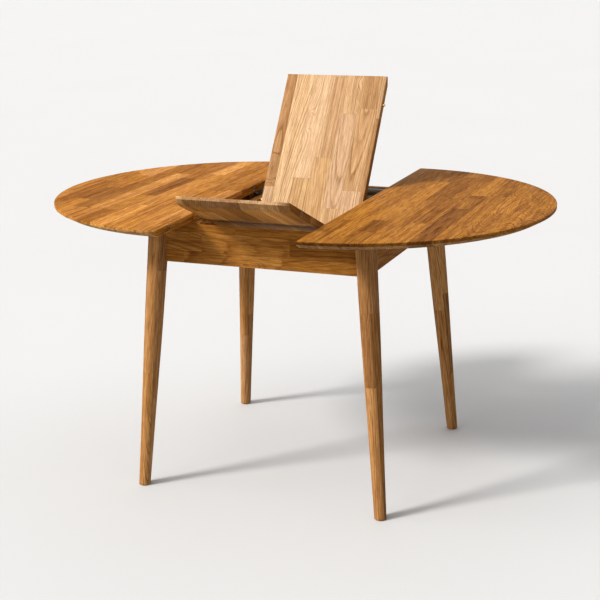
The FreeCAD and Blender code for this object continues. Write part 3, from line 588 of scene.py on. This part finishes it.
def boards(name, to_grain, edges, rows, seed, knots=(), darker=0.0, warmth=(0.0, 0.5),
           ends=(0.5, 0.2), coat=(1.0, 1.0, 1.0), arches=ARCHES):
    """New piece in a node's shape, its faces cut and marked where its staves meet.

    to_grain takes the piece to board space: X across the staves, Y along them, Z out of the
    face. edges are the places where rows of staves meet. rows holds, for each row, the places
    of its end joints and a shade letter for each stave, a capital where the grain is arched.
    knots holds (row, stave, across, along, rise). darker lowers the shade of every stave; on
    the right half top this is painted shade. ends holds how much darker the sawn ends and the
    bevels are than the face; on the right half top's rim and the leaves' bevels this is
    partly painted shade. coat holds how much of the face's oiled colour the sides, the ends
    and the bevels have; on the leaves that colour is pale with a painted sheen. arches holds,
    for staves with arched grain, the width of their rings and how much these lean along the
    stave.
    """
    rng = random.Random(seed)
    bm = bmesh.new()
    bm.from_mesh(nodes[name].data)
    bmesh.ops.remove_doubles(bm, verts=bm.verts, dist=WELD)
    bm.transform(to_grain)
    split_staves(bm, edges, rows)
    staves = {}
    for row, (_, letters) in enumerate(rows):
        for index, letter in enumerate(letters):
            staves[row, index] = grow_stave(letter, rng, arches, darker, warmth)
    for row, index, across, along, rise in knots:
        staves[row, index]["knot"] = Vector((across, along, rise))
    mark_faces(bm, edges, rows, staves, ends, coat)
    bm.transform(to_grain.inverted())
    mesh = bpy.data.meshes.new(name + "_staves")
    bm.to_mesh(mesh)
    bm.free()
    mesh.shade_smooth()
    mesh.set_sharp_from_angle(angle=SMOOTH_ANGLE)
    mesh.materials.append(materials[slots[name]])
    piece = bpy.data.objects.new(name + "_staves", mesh)
    bpy.context.scene.collection.objects.link(piece)
    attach(piece, nodes[name]["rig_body"])
    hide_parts(name)


def about_x(y, z, degrees):
    """Turn about a line along X through (y, z)."""
    there = Matrix.Translation((0, y, z))
    return there @ Matrix.Rotation(math.radians(degrees), 4, "X") @ there.inverted()


down_to_top = Matrix.Translation((0, 0, -TOP_Z))
rear_flat = about_x(*PIVOT, -REAR_TILT)
front_flat = about_x(0, HINGE_Z, FOLD) @ rear_flat
along_x = Matrix(((0, 0, 1, 0), (1, 0, 0, 0), (0, 1, 0, 0), (0, 0, 0, 1)))
along_y = Matrix(((0, 0, 1, 0), (0, 1, 0, 0), (-1, 0, 0, 0), (0, 0, 0, 1)))

# half tops: rows are listed outward from the joint edge, joints and shades from front to rear
RIGHT_ROWS = [
    ([-0.240, 0.210], "mhm"),
    ([-0.430, 0.065], "mhm"),
    ([-0.355, -0.225, 0.305], "mbhm"),
    ([-0.330, 0.050, 0.390], "hmbm"),
    ([-0.230, 0.075, 0.330], "hmMb"),
    ([-0.335, -0.255, -0.145, -0.035, 0.100, 0.140], "bdddmbh"),
    ([-0.225, 0.140], "hmM"),
    ([-0.060, 0.160], "MhM"),
    ([-0.035], "HM"),
    ([0.030], "MH"),
    ([], "M"),
]
LEFT_ROWS = [
    ([-0.280, 0.025, 0.185], "Hhbm"),
    ([-0.200, 0.005, 0.130], "hmbm"),
    ([-0.340, 0.105], "hhm"),
    ([-0.225, 0.235], "lhl"),
    ([-0.300, -0.105, 0.155], "bmdb"),
    ([-0.290, 0.075, 0.220], "hhlb"),
    ([-0.295, 0.055, 0.350], "hdbb"),
    ([-0.195, -0.025, 0.165], "hdml"),
    ([0.060, 0.200], "Bmh"),
    ([-0.100], "Hm"),
    ([], "m"),
]
right_edges = [JOINT_X + STAVE * step for step in range(1, len(RIGHT_ROWS))]
left_edges = [-edge for edge in reversed(right_edges)]
# the right half top's staves are made darker all over, a painted shade of the light falling off
# towards the right, and its rim is darkened far more than the left's: end grain and painted
# shade
boards("half_top_right", down_to_top, right_edges, RIGHT_ROWS, seed=11, darker=0.20,
       warmth=(0.0, 0.1), ends=(0.85, 0.1), coat=(1.0, 0.8, 0.0), arches=FINE_ARCHES)
boards("half_top_left", down_to_top, left_edges, LEFT_ROWS[::-1], seed=5,
       warmth=(0.3, 0.9), ends=(0.16, 0.1), coat=(1.0, 0.1, 0.0), arches=FINE_ARCHES)

# leaves: rows from left to right, joints and shades from front to rear
REAR_EDGES = [-0.119, -0.0675, -0.016, 0.0355, 0.086, 0.138]
REAR_ROWS = [
    ([0.150], "hD"),
    ([0.020], "hl"),
    ([0.180], "hl"),
    ([0.244, 0.494], "hmh"),
    ([0.094, 0.380], "hHh"),
    ([0.149, 0.3975], "hMb"),
    ([0.369], "bh"),
]
REAR_KNOTS = [
    (0, 1, -0.137, 0.250, 0.0212),
    (0, 1, -0.137, 0.205, 0.0216),
    (2, 1, -0.058, 0.359, 0.0200),
    (4, 2, 0.067, 0.476, 0.0120),
]
FRONT_EDGES = [-0.132, -0.082, -0.032, 0.018, 0.068, 0.086, 0.120]
FRONT_ROWS = [
    ([-0.300], "hh"),
    ([-0.420, -0.130], "bhm"),
    ([-0.210], "bb"),
    ([-0.330], "dm"),
    ([-0.260], "mh"),
    ([], "l"),
    ([-0.180], "hh"),
    ([-0.350], "dm"),
]
# the leaves' bevels are darkened as sawn wood and, in part, as painted shade
boards("leaf_rear", down_to_top @ rear_flat, REAR_EDGES, REAR_ROWS, seed=23,
       knots=REAR_KNOTS, ends=(0.2, 0.3), coat=(0.0, 1.0, 0.4))
boards("leaf_front", down_to_top @ front_flat, FRONT_EDGES, FRONT_ROWS, seed=37,
       ends=(0.1, 0.3), coat=(0.0, 1.0, 0.4))

# aprons and bearers: staves lie along them, in rows from the lower edge up
APRON_EDGES = [0.652, 0.702]
BEARER_EDGES = [0.668]
FRONT_APRON_ROWS = [
    ([-0.210, 0.064], "mHm"),
    ([-0.158, 0.086], "mMb"),
    ([-0.170, -0.062], "bmm"),
]
FRONT_APRON_KNOTS = [(0, 1, 0.626, -0.036, 0.022)]
boards("apron_front", along_x, APRON_EDGES, FRONT_APRON_ROWS, seed=41,
       knots=FRONT_APRON_KNOTS)
shuffle = random.Random(7)
for name, turn in (("apron_rear", along_x), ("apron_left", along_y), ("apron_right", along_y)):
    boards(name, turn, APRON_EDGES, random_rows(3, shuffle), shuffle.random())
for name in ("bearer_left", "bearer_right"):
    boards(name, along_y, BEARER_EDGES, random_rows(2, shuffle), shuffle.random())
for name in nodes:
    if name.startswith("corner_block"):
        boards(name, along_x, [], [([], "m")], shuffle.random())

# legs: three boards glued face to face, listed from right to left, joints and shades upwards
LEG_EDGES = [-0.014, 0.016]
LEG_ROWS = {
    # the front left leg's upper staves are dark: their tone, and also a painted shade of the
    # half top over them
    "leg_front_left": [
        ([0.250, 0.600], "hmd"),
        ([0.320], "hM"),
        ([0.190, 0.480], "lhd"),
    ],
    "leg_front_right": [
        ([0.099, 0.535], "dbb"),
        ([0.347, 0.535], "mbb"),
        ([0.205, 0.450, 0.610], "mhbm"),
    ],
    "leg_rear_left": [
        ([0.310], "mh"),
        ([0.240, 0.560], "hmH"),
        ([0.420], "mb"),
    ],
    "leg_rear_right": [
        ([0.180, 0.430], "mbh"),
        ([0.380], "Mh"),
        ([0.290, 0.610], "hmb"),
    ],
}


def leg_to_grain(name):
    """Stands a leg's axis along Y, with its foot at the origin."""
    side_x = 1 if name.endswith("right") else -1
    side_y = 1 if "rear" in name else -1
    axis = Vector((-side_x * LEAN, -side_y * LEAN, 1)).normalized()
    across = axis.cross(Vector((0, 1, 0))).normalized()
    out = across.cross(axis)
    foot = Matrix.Translation((-side_x * FOOT, -side_y * FOOT, 0))
    return Matrix((across, axis, out)).to_4x4() @ foot


for name in nodes:
    if name in LEG_ROWS:
        boards(name, leg_to_grain(name), LEG_EDGES, LEG_ROWS[name], shuffle.random(),
               ends=(0.3, 0.0))

# everything that keeps its own shape
for name, node in nodes.items():
    if not node.hide_render:
        for slot in node.material_slots:
            slot.material = materials[slots[name]]

# ---------------------------------------------------------------- floor, light and camera
REACH = 30.0
FLOOR_WAVES = (0.7, 0.7, 0.7)
FLOOR_EDGES = (0.3, 0.7)
FLOOR_GREYS = ((0.455, 0.456, 0.458, 1.0), (0.465, 0.466, 0.468, 1.0))
FLOOR_ROUGHNESS = (0.72, 0.76)
floor_mesh = bpy.data.meshes.new("floor")
corners = [(-REACH, -REACH, 0), (REACH, -REACH, 0), (REACH, REACH, 0), (-REACH, REACH, 0)]
floor_mesh.from_pydata(corners, [], [(0, 1, 2, 3)])
floor = bpy.data.objects.new("floor", floor_mesh)
bpy.context.scene.collection.objects.link(floor)
paint = Surface("floor_paint")
cloud = paint.noise(paint.vector("MULTIPLY", paint.place("Object"), FLOOR_WAVES))
paint.put(paint.inputs["Base Color"], paint.ramp(cloud, list(zip(FLOOR_EDGES, FLOOR_GREYS))))
paint.put(paint.inputs["Roughness"], paint.span(cloud, FLOOR_EDGES, FLOOR_ROUGHNESS))
floor_mesh.materials.append(paint.material)

# a soft key from the front left, brighter in its middle, and a wide light overhead:
# name, strength, width in degrees, colour and heading
LIGHTS = [
    ("key_core", 4.2, 12, (1.0, 0.975, 0.94), (0.73, 0.70, -0.80)),
    ("key_glow", 1.8, 60, (1.0, 0.975, 0.94), (0.73, 0.70, -0.80)),
    ("overhead", 1.4, 120, (1.0, 1.0, 1.0), (0.3, -0.5, -1.0)),
]
for name, energy, width, colour, heading in LIGHTS:
    light_data = bpy.data.lights.new(name, "SUN")
    light_data.energy = energy
    light_data.angle = math.radians(width)
    light_data.color = colour
    light = bpy.data.objects.new(name, light_data)
    light.rotation_euler = Vector(heading).to_track_quat("-Z", "Y").to_euler()
    bpy.context.scene.collection.objects.link(light)

# a pale studio, dimmer overhead
STUDIO = [(0.06, (0.86, 0.86, 0.85, 1.0)), (0.30, (0.343, 0.347, 0.35, 1.0))]
world = bpy.data.worlds.new("studio")
world.use_nodes = True
studio = Tree(world.node_tree)
height = studio.parts(studio.place("Generated"))["Z"]
studio.put(studio.nodes["Background"].inputs["Color"], studio.ramp(height, STUDIO))
bpy.context.scene.world = world

CAMERA_PLACE = (1.33807, -3.31588, 1.46316)
CAMERA_YAW = 0.385645      # radians, to the left of straight on
CAMERA_PITCH = 0.273896    # radians, downwards
CAMERA_ROLL = -0.019820    # radians
LENS = 80.58               # millimetres
SENSOR = 36.0              # millimetres
ahead = Vector((
    -math.sin(CAMERA_YAW) * math.cos(CAMERA_PITCH),
    math.cos(CAMERA_YAW) * math.cos(CAMERA_PITCH),
    -math.sin(CAMERA_PITCH),
))
level = Vector((math.cos(CAMERA_YAW), math.sin(CAMERA_YAW), 0))
over = level.cross(ahead)
right = level * math.cos(CAMERA_ROLL) + over * math.sin(CAMERA_ROLL)
up = over * math.cos(CAMERA_ROLL) - level * math.sin(CAMERA_ROLL)
camera_data = bpy.data.cameras.new("camera")
camera_data.lens = LENS
camera_data.sensor_width = SENSOR
camera = bpy.data.objects.new("camera", camera_data)
facing = Matrix((right, up, -ahead)).transposed().to_4x4()
camera.matrix_world = Matrix.Translation(CAMERA_PLACE) @ facing
bpy.context.scene.collection.objects.link(camera)
bpy.context.scene.camera = camera
bpy.context.scene.view_settings.view_transform = "Standard"
